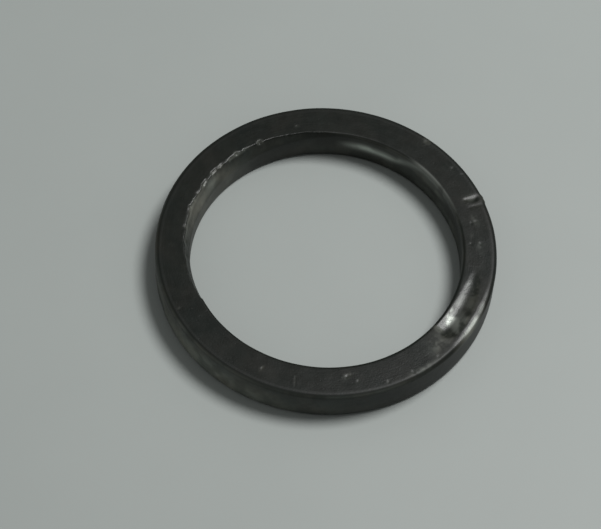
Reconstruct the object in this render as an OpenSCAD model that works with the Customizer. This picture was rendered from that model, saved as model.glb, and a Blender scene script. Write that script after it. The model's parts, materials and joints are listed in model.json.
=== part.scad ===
// Exhaust pipe gasket: one pressed ring that lies flat, +Z up, millimetres.
// The origin is at the centre of the bore, on the lower face.

/* [Ring] */
// Diameter of the bore that the pipe goes through
bore_d = 35; // [25:0.5:60]
// Width of the ring, from the bore to the outside wall
wall = 4.5; // [3.5:0.25:10]
// Height between the two sealing faces
height = 5; // [4:0.25:12]

/* [Pressed corners] */
// How far the outer corners fall back from the outside wall
outer_corner_in = 0.6; // [0.3:0.1:1.2]
// How far down the wall the outer corners reach
outer_corner_down = 0.6; // [0.3:0.1:1.2]
// How far the bore opens out at each face, as a lead-in for the pipe
bore_corner_in = 0.4; // [0.2:0.1:0.8]
// How far into the bore the lead-in reaches
bore_corner_down = 0.5; // [0.3:0.1:1.2]
// Straight steps in each corner's curve
corner_steps = 4; // [3:1:8]

/* [Worn bore edge] */
// How far the wear reaches across the upper face, at its widest
worn_in = 0.85; // [0.5:0.05:1.2]
// How far down the bore it reaches there
worn_down = 2.2; // [1:0.1:2.8]
// Direction of its widest place, in degrees from +X
worn_angle = 152; // [0:1:359]
// Turn from there to where the wear fades out
worn_fade = 75; // [50:1:110]
// Turn from there to where the flake ends in a step, on the other side
worn_step = 56; // [20:1:65]
// Number of small chips along the rim of the wear
rim_chip_count = 8; // [4:1:10]
// Radius of the largest of those chips
rim_chip_r = 0.34; // [0.2:0.02:0.5]

/* [Rolled outer edge] */
// How far in from the outside wall the corner is rolled down, at its widest
roll_in = 1.05; // [0.8:0.05:1.4]
// Slope of the rolled edge, in degrees
roll_tilt = 16; // [8:1:30]
// Direction of its widest place, in degrees from +X
roll_angle = 334; // [0:1:359]
// Turn from there to where the roll fades out
roll_fade = 24; // [15:1:40]

/* [Dent and nicks] */
// Depth of the long dent where the upper face was pressed down
dent_depth = 0.28; // [0.1:0.02:0.5]
// Direction of the dent's deepest place, in degrees from +X
dent_angle = 325; // [0:1:359]
// Its middle line, as a share of the way from the bore to the outside
dent_share = 0.41; // [0.35:0.01:0.7]
// Radius of the hollow across the face
dent_round = 3.5; // [2.5:0.5:8]
// Turn from the deepest place to where the dent fades out
dent_fade = 30; // [20:1:60]
// Turn from the deepest place to the crease that ends it on the other side
dent_end = 3; // [1:1:15]
// Radius of the shallow nicks that run out through the upper outer corner
nick_r = 1.6; // [1:0.1:2.5]
// Share of the pits' radius that is sunk into the surface
pit_sink = 0.45; // [0.2:0.05:0.7]

/* [Hidden] */
$fn = 96;

bore_r = bore_d / 2;
outer_r = bore_r + wall;
over = 1; // cutters reach this far past what they cut

// The wear is a cone set off from the bore's middle, so it thins to nothing
// at the fade. These are how far it is set off, and how much less than the
// bore's its radius is at the upper face.
worn_offset = worn_in / (1 - cos(worn_fade));
worn_under = worn_offset - worn_in;
// How unevenly the chips are spaced and sized, and the turn from one to the
// next that the unevenness comes from, in degrees
chip_uneven = 0.25;
chip_space_turn = 140;
chip_size_turn = 200;
// Stretch of the rim that has chips, as turns from the widest place
chip_first = -34;
chip_last = 17;

// Nicks: direction in degrees, share of the way from the bore to the outside
// at which each begins, and depth
nicks = [[23.8, 0.42, 0.20], [20.2, 0.45, 0.10]];

// Pits and chips in the upper face: direction in degrees, share of the way
// from the bore to the outside, and radius
pits = [
    [5, 0.27, 0.22], [5, 0.53, 0.28], [14.5, 0.38, 0.24], [15, 0.51, 0.28],
    [35.5, 0.83, 0.24], [39.5, 0.72, 0.30], [54, 0.85, 0.46], [104, 0.34, 0.28],
    [248.5, 0.48, 0.34], [280.5, 0.35, 0.46], [284, 0.57, 0.28], [294, 0.80, 0.30],
    [303.5, 0.82, 0.34], [314, 0.83, 0.30],
];

// Quarter of an ellipse, anticlockwise from the given direction
function quarter(centre, reach_x, reach_y, from) = [
    for (i = [0 : corner_steps])
        let (a = from + 90 * i / corner_steps)
            centre + [reach_x * cos(a), reach_y * sin(a)]
];

// Half section of the wall, drawn anticlockwise from the lower outer corner
module wall_section() {
    out_x = outer_r - outer_corner_in;
    in_x = bore_r + bore_corner_in;
    polygon(concat(
        quarter([out_x, outer_corner_down], outer_corner_in, outer_corner_down, -90),
        quarter([out_x, height - outer_corner_down], outer_corner_in, outer_corner_down, 0),
        quarter([in_x, height - bore_corner_down], bore_corner_in, bore_corner_down, 90),
        quarter([in_x, bore_corner_down], bore_corner_in, bore_corner_down, 180)
    ));
}

// Long shallow hollow pressed into the upper face. It follows the ring, since
// its cutter is a round ring too, tipped so that it only dips in on one side.
module dent() {
    middle_r = bore_r + wall * dent_share;
    dip = dent_depth / (1 - cos(dent_fade));
    tilt = atan(dip / middle_r);
    rotate([0, 0, dent_angle])
        difference() {
            translate([0, 0, height - dent_depth + dent_round + dip])
                rotate([0, tilt, 0])
                    rotate_extrude()
                        translate([middle_r / cos(tilt), 0]) circle(dent_round);
            rotate([0, 0, -dent_end])
                translate([0, -outer_r - over, height - dent_depth - over])
                    cube([outer_r + over, outer_r + over, dent_depth + over * 2]);
        }
}

// Round-bottomed nick that starts on the face and runs out through the corner
module nick(angle, share, depth) {
    rotate([0, 0, angle])
        translate([bore_r + wall * share, 0, height - depth + nick_r])
            rotate([0, 90, 0])
                cylinder(r = nick_r, h = wall + over);
}

module pit(angle, share, radius) {
    rotate([0, 0, angle])
        translate([bore_r + wall * share, 0, height + radius * (1 - pit_sink)])
            sphere(radius);
}

// How far the wear reaches across the face at a turn from its widest place
function worn_reach(turn) = worn_offset * cos(turn) - worn_under;

// Crescent rolled down along the upper outer corner, outside a cone that is
// set off from the ring's middle
module rolled_edge() {
    offset = roll_in / (1 - cos(roll_fade));
    cone_r = outer_r - roll_in + offset;
    spread = 1 / tan(roll_tilt);
    down = roll_in / spread + over;
    rotate([0, 0, roll_angle])
        difference() {
            translate([0, 0, height - down]) cylinder(r = outer_r + over, h = down + over);
            translate([-offset, 0, height - down])
                cylinder(r1 = cone_r + down * spread, r2 = cone_r - over * spread, h = down + over);
        }
}

// Crescent worn off the bore's upper edge, ending in a step on one side
module worn_edge() {
    slope = worn_in / worn_down;
    rotate([0, 0, worn_angle])
        difference() {
            translate([worn_offset, 0, height - worn_down])
                cylinder(
                    r1 = bore_r - worn_under - worn_in,
                    r2 = bore_r - worn_under + slope * over,
                    h = worn_down + over
                );
            rotate([0, 0, worn_step])
                translate([0, 0, height - worn_down - over])
                    cube([outer_r, outer_r, worn_down + over * 3]);
        }
}

// Small chips of uneven size and spacing along the rim of the wear
module rim_chips() {
    step = (chip_last - chip_first) / rim_chip_count;
    for (i = [0 : rim_chip_count - 1]) {
        turn = chip_first + step * (i + 1 / 2 + chip_uneven * sin(chip_space_turn * i));
        radius = rim_chip_r * (1 - chip_uneven * (1 - cos(chip_size_turn * i)));
        rotate([0, 0, worn_angle + turn])
            translate([bore_r + worn_reach(turn), 0, height])
                sphere(radius);
    }
}

module gasket_ring() {
    color([0.16, 0.17, 0.17])
        difference() {
            rotate_extrude() wall_section();
            worn_edge();
            rim_chips();
            rolled_edge();
            dent();
            for (n = nicks) nick(n[0], n[1], n[2]);
            for (p = pits) pit(p[0], p[1], p[2]);
        }
}

gasket_ring();
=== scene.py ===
import json
import math

import bpy
import numpy as np
from mathutils import Matrix, Vector


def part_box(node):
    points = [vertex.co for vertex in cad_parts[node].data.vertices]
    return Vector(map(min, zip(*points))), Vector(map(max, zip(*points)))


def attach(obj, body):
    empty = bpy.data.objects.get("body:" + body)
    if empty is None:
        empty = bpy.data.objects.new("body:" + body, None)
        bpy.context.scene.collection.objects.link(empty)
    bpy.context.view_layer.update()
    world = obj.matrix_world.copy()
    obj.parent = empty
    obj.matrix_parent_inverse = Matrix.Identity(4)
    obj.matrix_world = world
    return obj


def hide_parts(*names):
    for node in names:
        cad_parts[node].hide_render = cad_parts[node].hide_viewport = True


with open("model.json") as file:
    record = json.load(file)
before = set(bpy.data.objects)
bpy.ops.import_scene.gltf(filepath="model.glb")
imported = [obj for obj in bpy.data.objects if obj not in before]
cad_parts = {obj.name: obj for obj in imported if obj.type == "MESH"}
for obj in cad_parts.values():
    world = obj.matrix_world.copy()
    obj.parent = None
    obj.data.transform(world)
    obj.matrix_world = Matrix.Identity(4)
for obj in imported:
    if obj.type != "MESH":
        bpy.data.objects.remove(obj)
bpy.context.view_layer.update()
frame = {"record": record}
mm = 0.001
scene = bpy.context.scene
scene.view_settings.view_transform = "Standard"


# Sizes that the ring shares with its solid
def mountRadius(name):
    for mount in frame["record"]["mounts"]:
        if mount["name"] == name:
            return mount["dims"]["r_mm"] * mm


low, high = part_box("gasket_ring")
outerRadius = mountRadius("outer_wall")
boreRadius = mountRadius("pipe_bore")
height = high.z - low.z
wall = outerRadius - boreRadius


# Camera, at the photograph's angle
cameraSettings = {
    "elevation": 58.47,  # degrees above the table
    "roll": 3.22,  # degrees, turned about the line of sight
    "distance": 325.0 * mm,  # from the ring's centre on the table
    "right": 3.166 * mm,  # how far right of the picture's middle that centre lies
    "up": -0.326 * mm,
    "lens": 149.75,  # on a 36 mm wide sensor
}


def makeCamera(s):
    elevation, roll = math.radians(s["elevation"]), math.radians(s["roll"])
    back = Vector((0, -math.cos(elevation), math.sin(elevation)))
    level = Vector((1, 0, 0))
    upright = back.cross(level)
    right = level * math.cos(roll) + upright * math.sin(roll)
    up = upright * math.cos(roll) - level * math.sin(roll)
    data = bpy.data.cameras.new("camera")
    data.lens = s["lens"]
    data.clip_start = 5 * mm
    camera = bpy.data.objects.new("camera", data)
    scene.collection.objects.link(camera)
    place = back * s["distance"] - right * s["right"] - up * s["up"]
    camera.matrix_world = Matrix((right, up, back)).transposed().to_4x4()
    camera.location = place
    scene.camera = camera


makeCamera(cameraSettings)
print("camera placed")


# Small helpers for node trees
def addNode(tree, kind, settings=None, inputs=None):
    node = tree.nodes.new(kind)
    for name, value in (settings or {}).items():
        setattr(node, name, value)
    for name, value in (inputs or {}).items():
        feed(tree, value, node.inputs[name])
    return node


def feed(tree, value, socket):
    if isinstance(value, bpy.types.NodeSocket):
        tree.links.new(value, socket)
    else:
        socket.default_value = value


def maths(tree, operation, *values, clamp=False):
    node = addNode(tree, "ShaderNodeMath", {"operation": operation, "use_clamp": clamp})
    for i, value in enumerate(values):
        feed(tree, value, node.inputs[i])
    return node.outputs[0]


def arrange(tree):
    for i, node in enumerate(tree.nodes):
        node.location = (220 * (i // 6), -190 * (i % 6))


# Ring blank: a rounded section swept round the bore, made by a node tree
blankSettings = {
    "Outer Radius": outerRadius,
    "Bore Radius": boreRadius,
    "Height": height,
    "Outer Corner In": 0.6 * mm,  # the pressed corners, as on the solid
    "Outer Corner Down": 0.6 * mm,
    "Bore Corner In": 0.4 * mm,
    "Bore Corner Down": 0.5 * mm,
    "Corner Points": 48,  # on the four corners of the section together
    "Around": 1100,  # points round the bore, and round the section
    "Across": 88,
    "Gather": 0.55,  # how closely the points crowd on the upper face, 0 for evenly
    "Gather At": 0.17,  # where they crowd, as a share of the way round the section
    "Unevenness": 0.05 * mm,
    "Unevenness Scale": 260.0,
    "Seed": 4.0,
}


def makeBlankTree(settings):
    tree = bpy.data.node_groups.new("ringBlank", "GeometryNodeTree")
    face = tree.interface
    for name, value in settings.items():
        kind = "NodeSocketInt" if isinstance(value, int) else "NodeSocketFloat"
        face.new_socket(name, in_out="INPUT", socket_type=kind)
    face.new_socket("Finish", in_out="INPUT", socket_type="NodeSocketMaterial")
    face.new_socket("Geometry", in_out="OUTPUT", socket_type="NodeSocketGeometry")
    given = addNode(tree, "NodeGroupInput").outputs

    def turn(count, offset):  # angle of a point from its number on a circle
        number = addNode(tree, "GeometryNodeInputIndex").outputs[0]
        share = maths(tree, "DIVIDE", maths(tree, "ADD", number, offset), count)
        return maths(tree, "MULTIPLY", share, math.tau)

    def pick(choice, no, yes):
        return addNode(tree, "GeometryNodeSwitch", {"input_type": "FLOAT"},
                       {"Switch": choice, "False": no, "True": yes}).outputs[0]

    def isPositive(value):
        return addNode(tree, "FunctionNodeCompare", {"data_type": "FLOAT", "operation": "GREATER_THAN"},
                       {0: value, 1: 0.0}).outputs[0]

    # the section: four quarter ellipses with straight runs between them
    angle = turn(given["Corner Points"], 0.5)
    across, upright = maths(tree, "COSINE", angle), maths(tree, "SINE", angle)
    outside, above = isPositive(across), isPositive(upright)
    cornerIn = pick(outside, given["Bore Corner In"], given["Outer Corner In"])
    cornerDown = pick(outside, given["Bore Corner Down"], given["Outer Corner Down"])
    centreX = pick(outside, maths(tree, "ADD", given["Bore Radius"], cornerIn),
                   maths(tree, "SUBTRACT", given["Outer Radius"], cornerIn))
    centreZ = pick(above, cornerDown, maths(tree, "SUBTRACT", given["Height"], cornerDown))
    sectionX = maths(tree, "MULTIPLY_ADD", across, cornerIn, centreX)
    sectionZ = maths(tree, "MULTIPLY_ADD", upright, cornerDown, centreZ)
    spot = addNode(tree, "ShaderNodeCombineXYZ", None, {0: sectionX, 1: sectionZ}).outputs[0]
    circle = addNode(tree, "GeometryNodeCurvePrimitiveCircle", {"mode": "RADIUS"},
                     {"Resolution": given["Corner Points"], "Radius": given["Height"]}).outputs[0]
    section = addNode(tree, "GeometryNodeSetPosition", None,
                      {"Geometry": circle, "Position": spot}).outputs[0]

    # its points again, crowded on the upper face where the wear is
    share = turn(given["Across"], 0.0)
    gatherTurn = maths(tree, "MULTIPLY", given["Gather At"], math.tau)
    swing = maths(tree, "SINE", maths(tree, "SUBTRACT", share, gatherTurn))
    moved = maths(tree, "SUBTRACT", share, maths(tree, "MULTIPLY", swing, given["Gather"]))
    factor = maths(tree, "FRACT", maths(tree, "DIVIDE", moved, math.tau))
    picked = addNode(tree, "GeometryNodeSampleCurve", {"mode": "FACTOR"},
                     {"Curves": section, "Factor": factor})
    loop = addNode(tree, "GeometryNodeCurvePrimitiveCircle", {"mode": "RADIUS"},
                   {"Resolution": given["Across"], "Radius": given["Height"]}).outputs[0]
    section = addNode(tree, "GeometryNodeSetPosition", None,
                      {"Geometry": loop, "Position": picked.outputs["Position"]}).outputs[0]
    keepSection = addNode(tree, "GeometryNodeCaptureAttribute")
    keepSection.capture_items.new("VECTOR", "section")
    feed(tree, section, keepSection.inputs[0])
    feed(tree, addNode(tree, "GeometryNodeInputPosition").outputs[0], keepSection.inputs[1])

    # the path round the bore
    path = addNode(tree, "GeometryNodeCurvePrimitiveCircle", {"mode": "RADIUS"},
                   {"Resolution": given["Around"], "Radius": given["Outer Radius"]}).outputs[0]
    keepTurn = addNode(tree, "GeometryNodeCaptureAttribute")
    keepTurn.capture_items.new("FLOAT", "turn")
    feed(tree, path, keepTurn.inputs[0])
    feed(tree, turn(given["Around"], 0.0), keepTurn.inputs[1])
    swept = addNode(tree, "GeometryNodeCurveToMesh", None,
                    {"Curve": keepTurn.outputs[0], "Profile Curve": keepSection.outputs[0]}).outputs[0]

    # every point goes to its own place, a little inside the true wall
    parts = addNode(tree, "ShaderNodeSeparateXYZ", None, {0: keepSection.outputs[1]}).outputs
    cosine, sine = maths(tree, "COSINE", keepTurn.outputs[1]), maths(tree, "SINE", keepTurn.outputs[1])
    place = addNode(tree, "ShaderNodeCombineXYZ", None, {
        0: maths(tree, "MULTIPLY", parts[0], cosine),
        1: maths(tree, "MULTIPLY", parts[0], sine),
        2: parts[1],
    }).outputs[0]
    outward = addNode(tree, "GeometryNodeFlipFaces", None, {"Mesh": swept}).outputs[0]
    placed = addNode(tree, "GeometryNodeSetPosition", None,
                     {"Geometry": outward, "Position": place}).outputs[0]
    wobble = addNode(tree, "ShaderNodeTexNoise", {"noise_dimensions": "4D"},
                     {"Vector": addNode(tree, "GeometryNodeInputPosition").outputs[0],
                      "W": given["Seed"], "Scale": given["Unevenness Scale"], "Detail": 3.0}).outputs[0]
    depth = maths(tree, "MULTIPLY", maths(tree, "MULTIPLY", wobble, given["Unevenness"]), -1.0)
    push = addNode(tree, "ShaderNodeVectorMath", {"operation": "SCALE"},
                   {0: addNode(tree, "GeometryNodeInputNormal").outputs[0], "Scale": depth}).outputs[0]
    uneven = addNode(tree, "GeometryNodeSetPosition", None, {"Geometry": placed, "Offset": push}).outputs[0]
    smooth = addNode(tree, "GeometryNodeSetShadeSmooth", None, {"Geometry": uneven}).outputs[0]
    real = addNode(tree, "GeometryNodeRealizeInstances", None, {"Geometry": smooth}).outputs[0]
    done = addNode(tree, "GeometryNodeSetMaterial", None,
                   {"Geometry": real, "Material": given["Finish"]}).outputs[0]
    addNode(tree, "NodeGroupOutput", None, {"Geometry": done})
    arrange(tree)
    return tree


def makeBlank(settings, finish):
    tree = makeBlankTree(settings)
    carrier = bpy.data.objects.new("blankCarrier", bpy.data.meshes.new("blankCarrier"))
    scene.collection.objects.link(carrier)
    modifier = carrier.modifiers.new("blank", "NODES")
    modifier.node_group = tree
    values = dict(settings, Finish=finish)
    for item in tree.interface.items_tree:
        if item.in_out == "INPUT" and item.name in values:
            modifier[item.identifier] = values[item.name]
    carrier.update_tag()
    evaluated = carrier.evaluated_get(bpy.context.evaluated_depsgraph_get())
    mesh = bpy.data.meshes.new_from_object(evaluated)
    mesh.name = "gasketRing"
    bpy.data.objects.remove(carrier)
    ring = bpy.data.objects.new("gasketRing", mesh)
    scene.collection.objects.link(ring)
    return ring


# Wear, carved into the blank where the solid has it, with pale and bright marks in the finish, several of
# them painted light: painted reflection on the bore's wall, painted highlights, and painted light on shaded
# walls and corners. Angles are in degrees from +X, a turn is in degrees from a mark's own angle, and a share
# is the way from the bore to the outside wall.
wearSettings = {
    "noiseSeed": 5,
    "corners": {"bore": (0.2 * mm, 0.45 * mm), "outer": (0.55 * mm, 1.0 * mm)},  # where the faces end
    "wornEdge": {
        "angle": 152,
        "reach": 0.85 * mm,  # across the face, at its widest
        "down": 2.2 * mm,
        "fade": 75,  # turn at which it has thinned to nothing
        "step": 56,  # turn of the step that ends it on the other side
        "stepRun": (0.6, 1.8),  # degrees past that turn, over which the wear stops
        "ragged": 0.12 * mm,
        "rough": 0.035 * mm,
        "blunt": (0.08 * mm, 0.42 * mm),  # least and most rounding of its rim
        "palest": (-32, -14, 18, 34),  # turns over which the pale rim comes, and goes
        "rimDepth": (0.9 * mm, 0.1 * mm),  # down the wall, where what belongs to the rim starts and is full
        "rimWidth": 0.42 * mm,
        "rimBare": 0.03,
        "paintedRimHighlightIn": 0.16 * mm,  # from the rim to the middle of the painted highlights under it: pale blobs where the worn, rounded crest catches the lamp
        "paintedRimHighlightWidth": 0.45 * mm,
        "paintedRimHighlightStrength": 0.36,
        "rubbed": (0.1, 0.35),  # everywhere, and what the palest stretch adds
    },
    "rimChips": {
        "first": -34,
        "last": 17,
        "count": 8,
        "radius": 0.34 * mm,
        "uneven": 0.25,  # in spacing and in size
        "spaceTurn": 140,  # degrees from one chip to the next that the unevenness comes from
        "sizeTurn": 200,
        "ragged": 0.5,
        "halo": (0.7, 2.1),  # where the pale edge of a chip starts to fade and ends, in its radii
        "bareMetalAndGlint": 0.08,
        "dustAndPaintedLight": 0.22,
    },
    "rolledEdge": {
        "angle": 334,
        "reach": 1.05 * mm,
        "fade": 24,
        "tilt": 16,
        "ragged": 0.12 * mm,
        "burnishAndHighlight": {"angle": 330, "spread": 7.0, "most": 0.09, "least": 0.085},
    },
    "dent": {
        "angle": 325,
        "share": 0.41,
        "depth": 0.28 * mm,
        "round": 3.5 * mm,
        "fade": 30,
        "end": 3,  # turn of the crease that ends it
        "crease": 4.5,  # degrees over which the crease climbs back to the face
        "rough": 0.02 * mm,
        "blend": 0.03 * mm,
        "dull": 0.8,  # how much of the burnish and painted highlight its outer half loses, as that half faces away from the lamp
        "burnishAndHighlight": {"angle": 330, "spread": 3.6, "most": 0.44, "least": 0.08},
    },
    "nicks": {
        "places": [(25.0, 0.50, 0.09), (21.4, 0.52, 0.05)],  # angle, share at which it begins, depth in mm
        "radius": 1.3 * mm,
        "blend": 0.03 * mm,
        "wander": 0.5 * mm,
        "dustAndPaintedLight": 2,  # times the depth in mm
    },
    "burr": {"angle": 24.0, "half": 2.6, "out": 0.13 * mm, "low": 3.9 * mm, "dustAndPaintedLight": 0.1},
    "pits": {
        "places": [  # angle, share, radius in mm, how much pale fill it gets: partly dust, partly a painted highlight for the light its slopes catch
            (5, 0.27, 0.22, 0.03), (5, 0.53, 0.28, 0.14), (14.5, 0.38, 0.24, 0.04), (15, 0.51, 0.28, 0.16),
            (35.5, 0.83, 0.24, 0.05), (39.5, 0.72, 0.30, 0.06), (54, 0.85, 0.46, 0.17),
            (104, 0.34, 0.28, 0.06), (248.5, 0.48, 0.27, 0.14), (280.5, 0.35, 0.46, 0.14),
            (284, 0.57, 0.28, 0.08), (294, 0.80, 0.30, 0.08), (303.5, 0.82, 0.34, 0.1),
            (314, 0.83, 0.30, 0.1),
        ],
        "sink": 0.18,  # share of the radius that is sunk
        "ragged": 0.5,
        "stretch": (1.0, 1.35),
        "blend": 0.05 * mm,
        "seed": 7,
    },
    "scratches": {
        "lines": [  # first angle and share, last angle and share, how much it is lightened
            (209.2, 0.66, 209.8, 0.78, 0.1), (212.0, 0.44, 212.6, 0.54, 0.12),
            (261.0, 0.43, 261.5, 0.74, 0.08),
        ],
        "half": (0.03 * mm, 0.17 * mm),
        "depth": 0.01 * mm,
    },
    # Painted reflection on the bore's wall, laid as bare metal.
    "paintedReflectionBand": {
        "comes": (12, 44),  # angles over which it comes, brightens and goes
        "brightens": (55, 67),
        "goes": (71, 90),
        "faint": 0.34,  # its strength before it brightens
        "climb": (46, 64),  # angles over which it goes from the high place to the low one
        "high": 4.6 * mm,
        "low": 3.0 * mm,
        "width": 1.3 * mm,
        "bareMetalAndGlint": 1.1,
    },
    "dustAndLight": {  # angle and half its spread, height in mm or share and half its spread, strength; pale patches, partly dust and partly painted light
        # On the outer wall: painted light lifting the shaded lower wall and the dark reflection along the
        # upper corner, and a painted highlight beside the rolled edge.
        "outer": [
            (204, 14, 0.8, 1.5, 0.5), (226, 48, 1.4, 3.6, 1.0), (268, 30, 1.0, 2.6, 0.3),
            (215, 50, 4.75, 0.5, 0.36), (284, 32, 4.7, 0.4, 0.2), (329, 7, 4.6, 0.6, 0.9),
        ],
        # On the bore's wall: painted light on the shaded right side, painted reflection widening the
        # reflection stripe, and painted light on the lit left side.
        "bore": [
            (10, 26, 4.8, 0.4, 0.2), (25, 42, 1.2, 1.6, 0.45), (41, 13, 3.3, 0.9, 0.7),
            (55, 90, 1.8, 2.6, 0.24), (55, 32, 4.5, 0.8, 0.3), (75, 35, 4.8, 0.4, 0.05),
            (118, 22, 4.0, 1.4, 0.12), (146, 22, 1.8, 3.2, 0.45), (156, 18, 3.8, 1.2, 0.8),
            (163, 15, 4.6, 0.45, 0.85),
        ],
        # On the face: dust and marks, painted highlight by the nicks, and painted light on the dent's dark
        # outer half and at its end.
        "face": [
            (4, 3.2, 0.52, 0.12, 0.17), (8.3, 1.5, 0.31, 0.07, 0.12), (15.7, 2.6, 0.5, 0.12, 0.17),
            (21.8, 1.8, 0.74, 0.2, 0.1), (25.2, 1.8, 0.62, 0.22, 0.2), (307, 6, 0.86, 0.07, 0.4),
            (317.5, 5, 0.52, 0.32, 0.3), (322, 2.5, 0.5, 0.25, 0.08), (322.8, 1.8, 0.22, 0.2, 0.4),
            (329, 8, 0.55, 0.16, 0.16), (329, 9, 0.69, 0.06, 0.3), (341, 10, 0.57, 0.18, 0.14),
        ],
    },
}
maskNames = ("bareMetalAndGlint", "rubbed", "dustAndPaintedLight", "flat")  # what the carving tells the finish, point by point
noSurface = 1.0  # metres up, so that no point is lowered to it


def smoothNoise(points, size, lattice):  # from 0 to 1, in lumps of about that size
    spot = points / size
    cell = np.floor(spot).astype(int)
    part = spot - cell
    part = part * part * (3 - 2 * part)
    total = np.zeros(len(points))
    for corner in np.ndindex(2, 2, 2):
        weight = np.prod(np.where(corner, part, 1 - part), axis=1)
        total += weight * lattice[tuple(((cell + corner) % len(lattice)).T)]
    return total


def ease(value, first, last):  # from 0 at the first value to 1 at the last
    share = np.clip((value - first) / (last - first), 0, 1)
    return share * share * (3 - 2 * share)


def crescent(turn, reach, fade):  # reach at a turn, for a wear that thins to nothing at the fade
    least = math.cos(math.radians(fade))
    return reach * (np.cos(np.radians(turn)) - least) / (1 - least)


class RingWork:
    def __init__(self, ring, seed):
        self.mesh = ring.data
        flat = np.empty(len(self.mesh.vertices) * 3)
        self.mesh.vertices.foreach_get("co", flat)
        self.points = flat.reshape(-1, 3)
        self.home = self.points.copy()
        self.lattice = np.random.default_rng(seed).random((64, 64, 64))
        self.masks = {name: np.zeros(len(self.points)) for name in maskNames}
        x, y, z = self.home.T
        self.radius = np.hypot(x, y)
        self.angle = np.degrees(np.arctan2(y, x)) % 360
        self.upper = z > height / 2
        self.nearOutside = ease(self.radius, outerRadius - 0.8 * mm, outerRadius)

    def away(self, angle):  # signed distance round the ring from an angle, in degrees
        return (self.angle - angle + 180) % 360 - 180

    def axes(self, angle):  # distance out and distance along, from the line at that angle
        a = math.radians(angle)
        x, y = self.home[:, 0], self.home[:, 1]
        return x * math.cos(a) + y * math.sin(a), y * math.cos(a) - x * math.sin(a)

    def noise(self, size):
        return smoothNoise(self.home, size, self.lattice)

    def patches(self, size, first, last):  # noise sharpened into patches and gaps between them
        return ease(self.noise(size), first, last)

    def rimNoise(self, size):  # the same all the way up and across, so it makes an edge ragged
        line = self.home * [1, 1, 0] / self.radius[:, None] * boreRadius
        return smoothNoise(line, size, self.lattice)

    def mark(self, name, amount):
        self.masks[name] = np.maximum(self.masks[name], amount)

    def slide(self, amount):  # out along the ring's radius
        self.points[:, :2] *= (1 + amount / np.hypot(self.points[:, 0], self.points[:, 1]))[:, None]

    def lower(self, surface, blend):  # near the outside wall, points move in as well as down
        z = self.points[:, 2]
        gap = surface - z
        target = (surface + z - np.sqrt(gap * gap + blend * blend)) / 2
        drop = np.where(self.upper & (gap < 4 * blend), np.maximum(z - target, 0), 0)
        z -= drop
        self.slide(-drop * self.nearOutside)
        return drop

    def finish(self):
        self.mesh.vertices.foreach_set("co", self.points.ravel())
        for name, amount in self.masks.items():
            layer = self.mesh.attributes.new(name, "FLOAT", "POINT")
            layer.data.foreach_set("value", np.clip(amount, 0, 1))
        self.mesh.update()


def findFace(work, s):  # the upper and lower faces, inside the corners
    fromBore = ease(work.radius - boreRadius, *s["bore"])
    work.mark("flat", fromBore * ease(outerRadius - work.radius, *s["outer"]))


def wearBoreEdge(work, s):
    turn = work.away(s["angle"])
    rimStart, rimFull = s["rimDepth"]
    atRim = ease(work.home[:, 2], height - rimStart, height - rimFull)
    reach = crescent(turn, s["reach"], s["fade"])
    ragged = (work.rimNoise(1.1 * mm) + 0.6 * work.rimNoise(0.35 * mm) - 0.8) * s["ragged"]
    reach = reach + ragged * ease(reach, 0, 0.4 * mm) * (0.15 + 0.85 * atRim)
    first, full, fading, last = s["palest"]
    palest = ease(turn, first, full) * (1 - ease(turn, fading, last))

    slope = s["reach"] / s["down"]
    z = work.points[:, 2]
    over = boreRadius + reach - slope * (height - z) - work.radius  # how far inside the worn cone
    least, most = s["blunt"]
    blunt = (least + (most - least) * work.patches(0.9 * mm, 0.35, 0.7)) * palest * atRim
    cut = (over + np.sqrt(over ** 2 + blunt ** 2)) / 2 / (1 + slope) * ease(over, -0.5 * mm, -0.1 * mm)
    cut += ease(over, 0, 0.25 * mm) * (work.noise(0.4 * mm) - 0.4) * s["rough"]
    stopping, stopped = s["stepRun"]
    cut *= 1 - ease(turn + 2 * work.rimNoise(0.5 * mm), s["step"] + stopping, s["step"] + stopped)
    cut = np.where(work.upper, cut, 0)
    work.slide(cut)
    z -= cut

    onRim = (1 - ease(np.abs(over), 0.3 * s["rimWidth"], s["rimWidth"])) * atRim * palest
    work.mark("bareMetalAndGlint", onRim * work.patches(0.7 * mm, 0.35, 0.7) * s["rimBare"])
    # Painted highlight: pale blobs just inside the worn rim, where its rounded crest catches the lamp.
    below = (1 - ease(np.abs(over - s["paintedRimHighlightIn"]), 0.1 * mm, s["paintedRimHighlightWidth"])) * atRim * palest
    work.mark("dustAndPaintedLight", below * work.patches(0.9 * mm, 0.35, 0.65) * s["paintedRimHighlightStrength"])
    everywhere, added = s["rubbed"]
    work.mark("rubbed", (everywhere + added * palest) * ease(cut, 0, 0.2 * mm))


def chipRim(work, s, edge):
    step = (s["last"] - s["first"]) / s["count"]
    uneven = s["uneven"]
    fading, gone = s["halo"]
    for i in range(s["count"]):
        turn = s["first"] + step * (i + 0.5 + uneven * math.sin(math.radians(s["spaceTurn"] * i)))
        radius = s["radius"] * (1 - uneven + uneven * math.cos(math.radians(s["sizeTurn"] * i)))
        a = math.radians(edge["angle"] + turn)
        out = boreRadius + crescent(turn, edge["reach"], edge["fade"])
        centre = np.array([out * math.cos(a), out * math.sin(a), height])
        inward = np.array([math.cos(a), math.sin(a), -1]) / math.sqrt(2)
        gap = (work.points - centre) * (1 + s["ragged"] * (work.noise(0.3 * mm)[:, None] - 0.5))
        inside = (gap ** 2).sum(1) < radius ** 2
        b = gap[inside] @ inward
        c = (gap[inside] ** 2).sum(1) - radius ** 2
        work.points[inside] += np.outer(np.sqrt(b * b - c) - b, inward)  # on to the chip's round floor
        halo = (1 - ease(np.sqrt((gap ** 2).sum(1)), fading * radius, gone * radius)) * work.upper
        halo *= work.patches(0.3 * mm, 0.15, 0.6)
        work.mark("bareMetalAndGlint", s["bareMetalAndGlint"] * halo)
        work.mark("dustAndPaintedLight", s["dustAndPaintedLight"] * halo)


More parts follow.
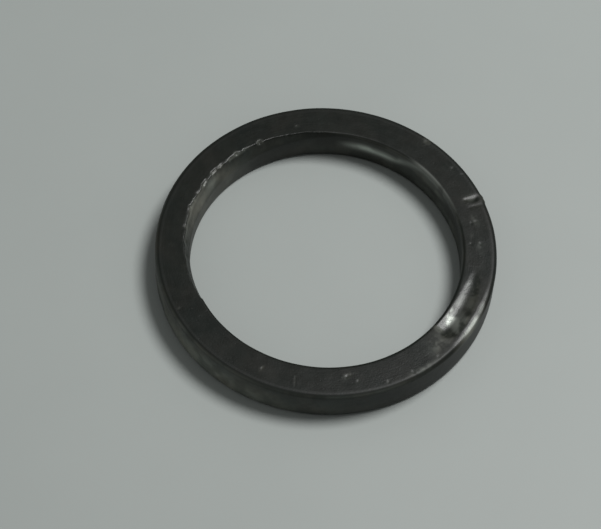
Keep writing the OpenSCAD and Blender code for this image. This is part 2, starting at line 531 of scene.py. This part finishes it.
def burnishAndHighlight(work, s, amount):  # bare metal, brightest round one angle: burnish, with a painted highlight where the lamp's highlight is brightest
    uneven = 0.3 + 1.3 * work.patches(0.8 * mm, 0.2, 0.8)
    bright = s["most"] * np.exp(-(work.away(s["angle"]) / s["spread"]) ** 2) + s["least"]
    work.mark("bareMetalAndGlint", bright * uneven * amount)


def rollOuterEdge(work, s):
    turn = work.away(s["angle"])
    ragged = (work.rimNoise(0.9 * mm) - 0.5) * s["ragged"]
    start = outerRadius - crescent(turn, s["reach"], s["fade"]) + ragged
    slope = math.tan(math.radians(s["tilt"]))
    z = work.points[:, 2]
    over = z - height + slope * (work.radius - start)
    cut = np.where(work.upper, np.maximum(over, 0) / (1 + slope), 0)
    work.slide(-cut)
    z -= cut
    work.mark("rubbed", ease(cut, 0, 0.05 * mm))
    burnishAndHighlight(work, s["burnishAndHighlight"], ease(cut, 0.02 * mm, 0.08 * mm))


def pressDent(work, s):  # it follows the ring, deepest near the crease that ends it
    turn = work.away(s["angle"])
    least = math.cos(math.radians(s["fade"]))
    dip = s["depth"] / (1 - least)
    depth = s["depth"] - dip * (1 - np.cos(np.radians(turn)))
    crease = s["end"] + 2 * (work.noise(0.9 * mm) - 0.5)
    half = s["crease"] / 2
    depth *= ease(turn, -crease - half, -crease + half)
    across = work.radius - boreRadius - wall * s["share"]
    floor = height - depth + across ** 2 / (2 * s["round"]) + s["rough"] * (work.noise(0.8 * mm) - 0.5)
    near = (np.abs(turn) < s["fade"]) & (turn > -crease - half)
    drop = work.lower(np.where(near, floor, noSurface), s["blend"])
    pressed = ease(drop, 0.01 * mm, 0.06 * mm)
    work.mark("rubbed", pressed)
    burnishAndHighlight(work, s["burnishAndHighlight"], pressed * (1 - s["dull"] * ease(across, -0.8 * mm, 0.3 * mm)))


def cutNicks(work, s):
    radius = s["radius"]
    for angle, share, depth in s["places"]:
        out, along = work.axes(angle)
        along = along + s["wander"] * (work.noise(0.9 * mm) - 0.5)
        short = np.maximum(boreRadius + wall * share - out, 0)
        across = np.minimum(np.hypot(along, short), radius)
        uneven = 0.35 + 1.3 * work.noise(0.9 * mm)
        floor = height - depth * uneven * mm + radius - np.sqrt(radius ** 2 - across ** 2)
        drop = work.lower(np.where((across < radius) & (out > 0), floor, noSurface), s["blend"])
        # A pale smear in the nick: partly dust, partly a painted highlight where the nick's slope catches
        # the lamp.
        dustAndGlintSmear = ease(drop, 0.005 * mm, 0.05 * mm) * work.patches(0.4 * mm, 0.35, 0.65)
        offCorner = 1 - ease(work.radius, outerRadius - 0.9 * mm, outerRadius - 0.4 * mm)
        dustAndGlintSmear *= ease(along, -0.2 * mm, 0.1 * mm) * offCorner
        work.mark("dustAndPaintedLight", dustAndGlintSmear * depth * s["dustAndPaintedLight"])


def raiseBurr(work, s):  # metal pushed out of the nick, over the outer corner
    onCorner = ease(work.home[:, 2], s["low"], s["low"] + 0.6 * mm)
    onCorner *= ease(work.radius, outerRadius - mm, outerRadius)
    near = (1 - ease(np.abs(work.away(s["angle"])), 0.2 * s["half"], s["half"])) * onCorner
    work.slide(near * s["out"] * (0.6 + 0.8 * work.noise(0.4 * mm)))
    work.mark("dustAndPaintedLight", s["dustAndPaintedLight"] * near)


def sinkPits(work, s):
    chance = np.random.default_rng(s["seed"])
    lumps = work.noise(0.28 * mm)
    for angle, share, radius, dustAndLight in s["places"]:
        out, along = work.axes(angle)
        out = out - boreRadius - wall * share
        lean, stretch = chance.uniform(0, math.pi), chance.uniform(*s["stretch"])
        longWay = (out * math.cos(lean) + along * math.sin(lean)) / stretch
        shortWay = (along * math.cos(lean) - out * math.sin(lean)) * stretch
        across = np.hypot(longWay, shortWay) * (1 + s["ragged"] * (lumps - 0.5) * 2)
        radius = radius * mm
        floor = height + radius * (1 - s["sink"]) - np.sqrt(np.maximum(radius ** 2 - across ** 2, 0))
        work.lower(np.where(across < radius, floor, noSurface), s["blend"])
        soft = (1 - ease(across, 0.4 * radius, 1.8 * radius)) * (0.4 + 0.8 * lumps)
        work.mark("dustAndPaintedLight", soft * dustAndLight * (work.home[:, 2] > height - mm))


def drawScratches(work, s):
    share = (work.radius - boreRadius) / wall
    for firstAngle, firstShare, lastAngle, lastShare, dustAndLight in s["lines"]:
        way = np.clip((share - firstShare) / (lastShare - firstShare), 0, 1)
        aside = work.away(firstAngle + (lastAngle - firstAngle) * way) * math.pi / 180 * work.radius
        beyond = (share - firstShare - (lastShare - firstShare) * way) * wall
        near = 1 - ease(np.hypot(aside, beyond), *s["half"])
        near *= work.patches(0.5 * mm, 0.15, 0.5) * (work.home[:, 2] > height - 0.8 * mm)
        work.points[:, 2] -= s["depth"] * near
        work.mark("dustAndPaintedLight", dustAndLight * near)


def paintReflectionBand(work, s):  # painted reflection: a bright bare-metal stripe on the bore's wall where it reflects the lit table beyond the shadow inside the bore; it climbs towards its first angle as that reflection does
    climb = ease(work.angle, *s["climb"])
    middle = s["high"] + (s["low"] - s["high"]) * climb
    across = (work.home[:, 2] - middle) / s["width"]
    strength = s["faint"] + (1 - s["faint"]) * ease(work.angle, *s["brightens"])
    strength *= ease(work.angle, *s["comes"]) * (1 - ease(work.angle, *s["goes"]))
    onWall = 1 - ease(work.radius, boreRadius + 0.3 * mm, boreRadius + 0.5 * mm)
    broken = 0.55 + 0.5 * work.patches(1.2 * mm, 0.3, 0.6)
    work.mark("bareMetalAndGlint", s["bareMetalAndGlint"] * strength * np.exp(-across ** 2 * 4) * onWall * broken)


# Pale patches, partly dust and mostly painted light: they lift shaded walls and dark corner reflections and
# brighten where highlights fall.
def dustAndLightPatch(work, place, angle, halfAngle, middle, half, strength):
    top = height - work.points[:, 2]
    if place == "face":
        off = ((work.radius - boreRadius) / wall - middle) / half
        here = 1 - ease(top, 0.4 * mm, 0.8 * mm)
        cloud = 0.15 + 0.85 * ease(work.noise(0.8 * mm) * 0.5 + work.noise(0.3 * mm) * 0.5, 0.3, 0.7)
    else:
        off = (work.points[:, 2] / mm - middle) / half
        depth = work.radius - boreRadius if place == "bore" else outerRadius - work.radius
        here = ease(top, 0.06 * mm, 0.2 * mm) * (depth < 1.1 * mm)  # the wall and its corners alone
        cloud = 0.6 + 0.4 * ease(work.noise(1.6 * mm) * 0.7 + work.noise(0.5 * mm) * 0.3, 0.3, 0.7)
    around = work.away(angle) / halfAngle
    fade = np.exp(-1.4 * (around ** 2 + off ** 2))
    work.mark("dustAndPaintedLight", strength * fade * cloud * here)


def carveWear(ring, s):
    work = RingWork(ring, s["noiseSeed"])
    findFace(work, s["corners"])
    wearBoreEdge(work, s["wornEdge"])
    chipRim(work, s["rimChips"], s["wornEdge"])
    rollOuterEdge(work, s["rolledEdge"])
    pressDent(work, s["dent"])
    cutNicks(work, s["nicks"])
    raiseBurr(work, s["burr"])
    sinkPits(work, s["pits"])
    drawScratches(work, s["scratches"])
    paintReflectionBand(work, s["paintedReflectionBand"])
    for place, patches in s["dustAndLight"].items():
        for patch in patches:
            dustAndLightPatch(work, place, *patch)
    work.finish()


# Effects that the ring and the table share, as shader node groups
def startGroup(name, inputs, outputs):
    tree = bpy.data.node_groups.new(name, "ShaderNodeTree")
    for socket, value in inputs.items():
        kind = "NodeSocketVector" if value is None else "NodeSocketFloat"
        made = tree.interface.new_socket(socket, in_out="INPUT", socket_type=kind)
        if value is not None:
            made.default_value = value
    for socket in outputs:
        tree.interface.new_socket(socket, in_out="OUTPUT", socket_type="NodeSocketFloat")
    return tree, addNode(tree, "NodeGroupInput").outputs


def makeMottleGroup():  # slow changes of tone
    tree, given = startGroup("mottle", {"Vector": None, "Scale": 300.0, "Contrast": 2.0, "Seed": 0.0},
                             ["Value"])
    noise = addNode(tree, "ShaderNodeTexNoise", {"noise_dimensions": "4D"},
                    {"Vector": given["Vector"], "W": given["Seed"], "Scale": given["Scale"], "Detail": 4.0,
                     "Roughness": 0.55}).outputs[0]
    swing = maths(tree, "SUBTRACT", noise, 0.5)
    tone = maths(tree, "MULTIPLY_ADD", swing, given["Contrast"], 0.5, clamp=True)
    addNode(tree, "NodeGroupOutput", None, {"Value": tone})
    arrange(tree)
    return tree


def makeGrainGroup():  # fine grain, with a few deeper pores
    tree, given = startGroup("grain", {"Vector": None, "Scale": 4000.0, "Pores": 0.3, "Seed": 0.0},
                             ["Height"])
    noise = addNode(tree, "ShaderNodeTexNoise", {"noise_dimensions": "4D"},
                    {"Vector": given["Vector"], "W": given["Seed"], "Scale": given["Scale"], "Detail": 3.0,
                     "Roughness": 0.6}).outputs[0]
    cells = addNode(tree, "ShaderNodeTexVoronoi", {"voronoi_dimensions": "4D"},
                    {"Vector": given["Vector"], "W": given["Seed"],
                     "Scale": maths(tree, "MULTIPLY", given["Scale"], 0.45)}).outputs["Distance"]
    pore = addNode(tree, "ShaderNodeMapRange", {"interpolation_type": "SMOOTHSTEP"},
                   {"Value": cells, "From Min": 0.12, "From Max": 0.3,
                    "To Min": 1.0, "To Max": 0.0}).outputs[0]
    pore = maths(tree, "MULTIPLY", pore, given["Pores"])
    addNode(tree, "NodeGroupOutput", None, {"Height": maths(tree, "SUBTRACT", noise, pore)})
    arrange(tree)
    return tree


groups = {"mottle": makeMottleGroup(), "grain": makeGrainGroup()}


def useGroup(tree, name, inputs):
    node = tree.nodes.new("ShaderNodeGroup")
    node.node_tree = groups[name]
    for socket, value in inputs.items():
        feed(tree, value, node.inputs[socket])
    return node.outputs


def blend(tree, share, first, second):
    node = addNode(tree, "ShaderNodeMix", {"data_type": "RGBA"})
    feed(tree, share, node.inputs[0])
    feed(tree, first, node.inputs[6])
    feed(tree, second, node.inputs[7])
    return node.outputs[2]


def blendValue(tree, share, first, second):
    return addNode(tree, "ShaderNodeMix", {"data_type": "FLOAT"}, {0: share, 2: first, 3: second}).outputs[0]


def between(tree, share, first, last):
    return maths(tree, "MULTIPLY_ADD", share, last - first, first)


# Finish of the ring: dark pressed graphite, bare steel where it is chipped or rubbed, and bare steel also
# laid as painted reflection on the bore's wall and as painted highlight in the dent
finishSettings = {
    "cool": (0.0040, 0.0066, 0.0050, 1),
    "warm": (0.0062, 0.0068, 0.0044, 1),
    "bareMetalAndGlint": (0.44, 0.47, 0.43, 1),
    # Pale greys for dust, also used as painted light.
    "dustAndPaintedLightCool": (0.195, 0.222, 0.200, 1),
    "dustAndPaintedLightWarm": (0.225, 0.218, 0.180, 1),
    "faceRoughness": (0.29, 0.36),
    "wallRoughness": 0.46,
    "rubbedRoughness": 0.25,
    "bareMetalAndGlintRoughness": 0.34,
    "dustAndPaintedLightRoughness": 0.55,
    "specular": 0.25,
    "patchRoughness": 0.05,  # how much the slow patches change it
    "streakRoughness": 0.10,
    "patchScale": 210.0,
    "toneScale": 900.0,
    "grainScale": 4200.0,
    "grainDepth": 0.012 * mm,
    "streaksRound": 7.0,  # how often a streak changes, round the ring and across it
    "streaksAcross": 5000.0,
    "streakDepth": 0.006 * mm,
}


def makeRingFinish(s):
    material = bpy.data.materials.new("pressedGraphite")
    material.use_nodes = True
    tree = material.node_tree
    shader = tree.nodes["Principled BSDF"]
    place = addNode(tree, "ShaderNodeTexCoord").outputs["Object"]
    x, y, z = addNode(tree, "ShaderNodeSeparateXYZ", None, {0: place}).outputs
    masks = {name: addNode(tree, "ShaderNodeAttribute", {"attribute_name": name}).outputs["Fac"]
             for name in maskNames}

    # streaks left by the press, long round the ring and fine across it
    flat = addNode(tree, "ShaderNodeCombineXYZ", None, {0: x, 1: y}).outputs[0]
    radius = addNode(tree, "ShaderNodeVectorMath", {"operation": "LENGTH"}, {0: flat}).outputs["Value"]
    unit = addNode(tree, "ShaderNodeVectorMath", {"operation": "NORMALIZE"}, {0: flat}).outputs[0]
    unitX, unitY, _ = addNode(tree, "ShaderNodeSeparateXYZ", None, {0: unit}).outputs
    spun = addNode(tree, "ShaderNodeCombineXYZ", None, {
        0: maths(tree, "MULTIPLY", unitX, s["streaksRound"]),
        1: maths(tree, "MULTIPLY", unitY, s["streaksRound"]),
        2: maths(tree, "MULTIPLY", radius, s["streaksAcross"]),
    }).outputs[0]
    streak = addNode(tree, "ShaderNodeTexNoise", {"noise_dimensions": "4D"},
                     {"Vector": spun, "W": maths(tree, "MULTIPLY", z, s["streaksAcross"]),
                      "Scale": 1.0, "Detail": 3.0, "Roughness": 0.6}).outputs[0]

    patches = useGroup(tree, "mottle", {"Vector": place, "Scale": s["patchScale"], "Contrast": 2.6,
                                        "Seed": 3.0})["Value"]
    tone = useGroup(tree, "mottle", {"Vector": place, "Scale": s["toneScale"], "Contrast": 1.8,
                                     "Seed": 8.0})["Value"]
    grain = useGroup(tree, "grain", {"Vector": place, "Scale": s["grainScale"], "Pores": 0.35, "Seed": 1.0})

    base = blend(tree, patches, s["cool"], s["warm"])
    base = addNode(tree, "ShaderNodeHueSaturation", None,
                   {"Value": between(tree, tone, 0.8, 1.25), "Color": base}).outputs[0]
    # Pale grey from the dust-and-painted-light mask: dust in places, painted light on shaded walls and
    # corners, and painted highlights elsewhere.
    base = blend(tree, masks["dustAndPaintedLight"], base, blend(tree, patches, s["dustAndPaintedLightCool"], s["dustAndPaintedLightWarm"]))
    feed(tree, blend(tree, masks["bareMetalAndGlint"], base, s["bareMetalAndGlint"]), shader.inputs["Base Color"])
    feed(tree, masks["bareMetalAndGlint"], shader.inputs["Metallic"])
    shader.inputs["Specular IOR Level"].default_value = s["specular"]

    least, most = s["faceRoughness"]
    half = s["patchRoughness"] / 2
    onFace = between(tree, tone, least - half, most - half)
    onFace = maths(tree, "MULTIPLY_ADD", patches, s["patchRoughness"], onFace)
    rough = blendValue(tree, masks["flat"], s["wallRoughness"], onFace)
    for name in ("rubbed", "dustAndPaintedLight", "bareMetalAndGlint"):
        rough = blendValue(tree, masks[name], rough, s[name + "Roughness"])
    rough = maths(tree, "MULTIPLY_ADD", maths(tree, "SUBTRACT", streak, 0.5), s["streakRoughness"], rough)
    feed(tree, rough, shader.inputs["Roughness"])

    relief = maths(tree, "ADD", maths(tree, "MULTIPLY", grain["Height"], s["grainDepth"]),
                   maths(tree, "MULTIPLY", streak, s["streakDepth"]))
    bump = addNode(tree, "ShaderNodeBump", None,
                   {"Height": relief, "Distance": 1.0, "Strength": 1.0}).outputs[0]
    feed(tree, bump, shader.inputs["Normal"])
    arrange(tree)
    return material


ringFinish = makeRingFinish(finishSettings)
ring = makeBlank(blankSettings, ringFinish)
print("blank made,", len(ring.data.polygons), "faces")
carveWear(ring, wearSettings)
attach(ring, "root")
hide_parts("gasket_ring")
print("wear carved")


# Table
tableSettings = {
    "size": 2.4,  # metres
    "colour": (0.335, 0.362, 0.347, 1),
    "shade": (0.320, 0.346, 0.332, 1),
    "roughness": 0.55,
    "patchScale": 60.0,
}


def makeTable(s):
    half = s["size"] / 2
    mesh = bpy.data.meshes.new("table")
    corners = [(-half, -half, 0), (half, -half, 0), (half, half, 0), (-half, half, 0)]
    mesh.from_pydata(corners, [], [(0, 1, 2, 3)])
    table = bpy.data.objects.new("table", mesh)
    scene.collection.objects.link(table)
    material = bpy.data.materials.new("tableTop")
    material.use_nodes = True
    tree = material.node_tree
    shader = tree.nodes["Principled BSDF"]
    place = addNode(tree, "ShaderNodeTexCoord").outputs["Object"]
    patches = useGroup(tree, "mottle", {"Vector": place, "Scale": s["patchScale"], "Contrast": 1.5,
                                        "Seed": 2.0})["Value"]
    feed(tree, blend(tree, patches, s["colour"], s["shade"]), shader.inputs["Base Color"])
    shader.inputs["Roughness"].default_value = s["roughness"]
    arrange(tree)
    mesh.materials.append(material)


makeTable(tableSettings)


# Light: one wide lamp high on the right, beyond the ring, and a room that is brighter overhead
lightSettings = {
    "direction": 30,  # degrees from +X
    "elevation": 65.5,
    "distance": 0.6,  # metres, as the lamp's size is
    "size": 0.235,
    "power": 3.05,  # watts
    "horizon": (0.117, 0.12, 0.119, 1),
    "overhead": (0.284, 0.290, 0.287, 1),
}


def makeLight(s):
    direction, elevation = math.radians(s["direction"]), math.radians(s["elevation"])
    towards = Vector((math.cos(elevation) * math.cos(direction), math.cos(elevation) * math.sin(direction),
                      math.sin(elevation)))
    data = bpy.data.lights.new("lamp", "AREA")
    data.shape = "DISK"
    data.size = s["size"]
    data.energy = s["power"]
    lamp = bpy.data.objects.new("lamp", data)
    scene.collection.objects.link(lamp)
    lamp.location = towards * s["distance"]
    lamp.rotation_euler = towards.to_track_quat("Z", "Y").to_euler()

    world = bpy.data.worlds.new("room")
    world.use_nodes = True
    scene.world = world
    tree = world.node_tree
    tree.nodes.clear()
    up = addNode(tree, "ShaderNodeSeparateXYZ", None,
                 {0: addNode(tree, "ShaderNodeTexCoord").outputs["Generated"]}).outputs[2]
    colour = blend(tree, maths(tree, "MAXIMUM", up, 0.0), s["horizon"], s["overhead"])
    room = addNode(tree, "ShaderNodeBackground", None, {"Color": colour, "Strength": 1.0})
    addNode(tree, "ShaderNodeOutputWorld", None, {"Surface": room.outputs[0]})
    arrange(tree)


makeLight(lightSettings)
print("table and light placed")
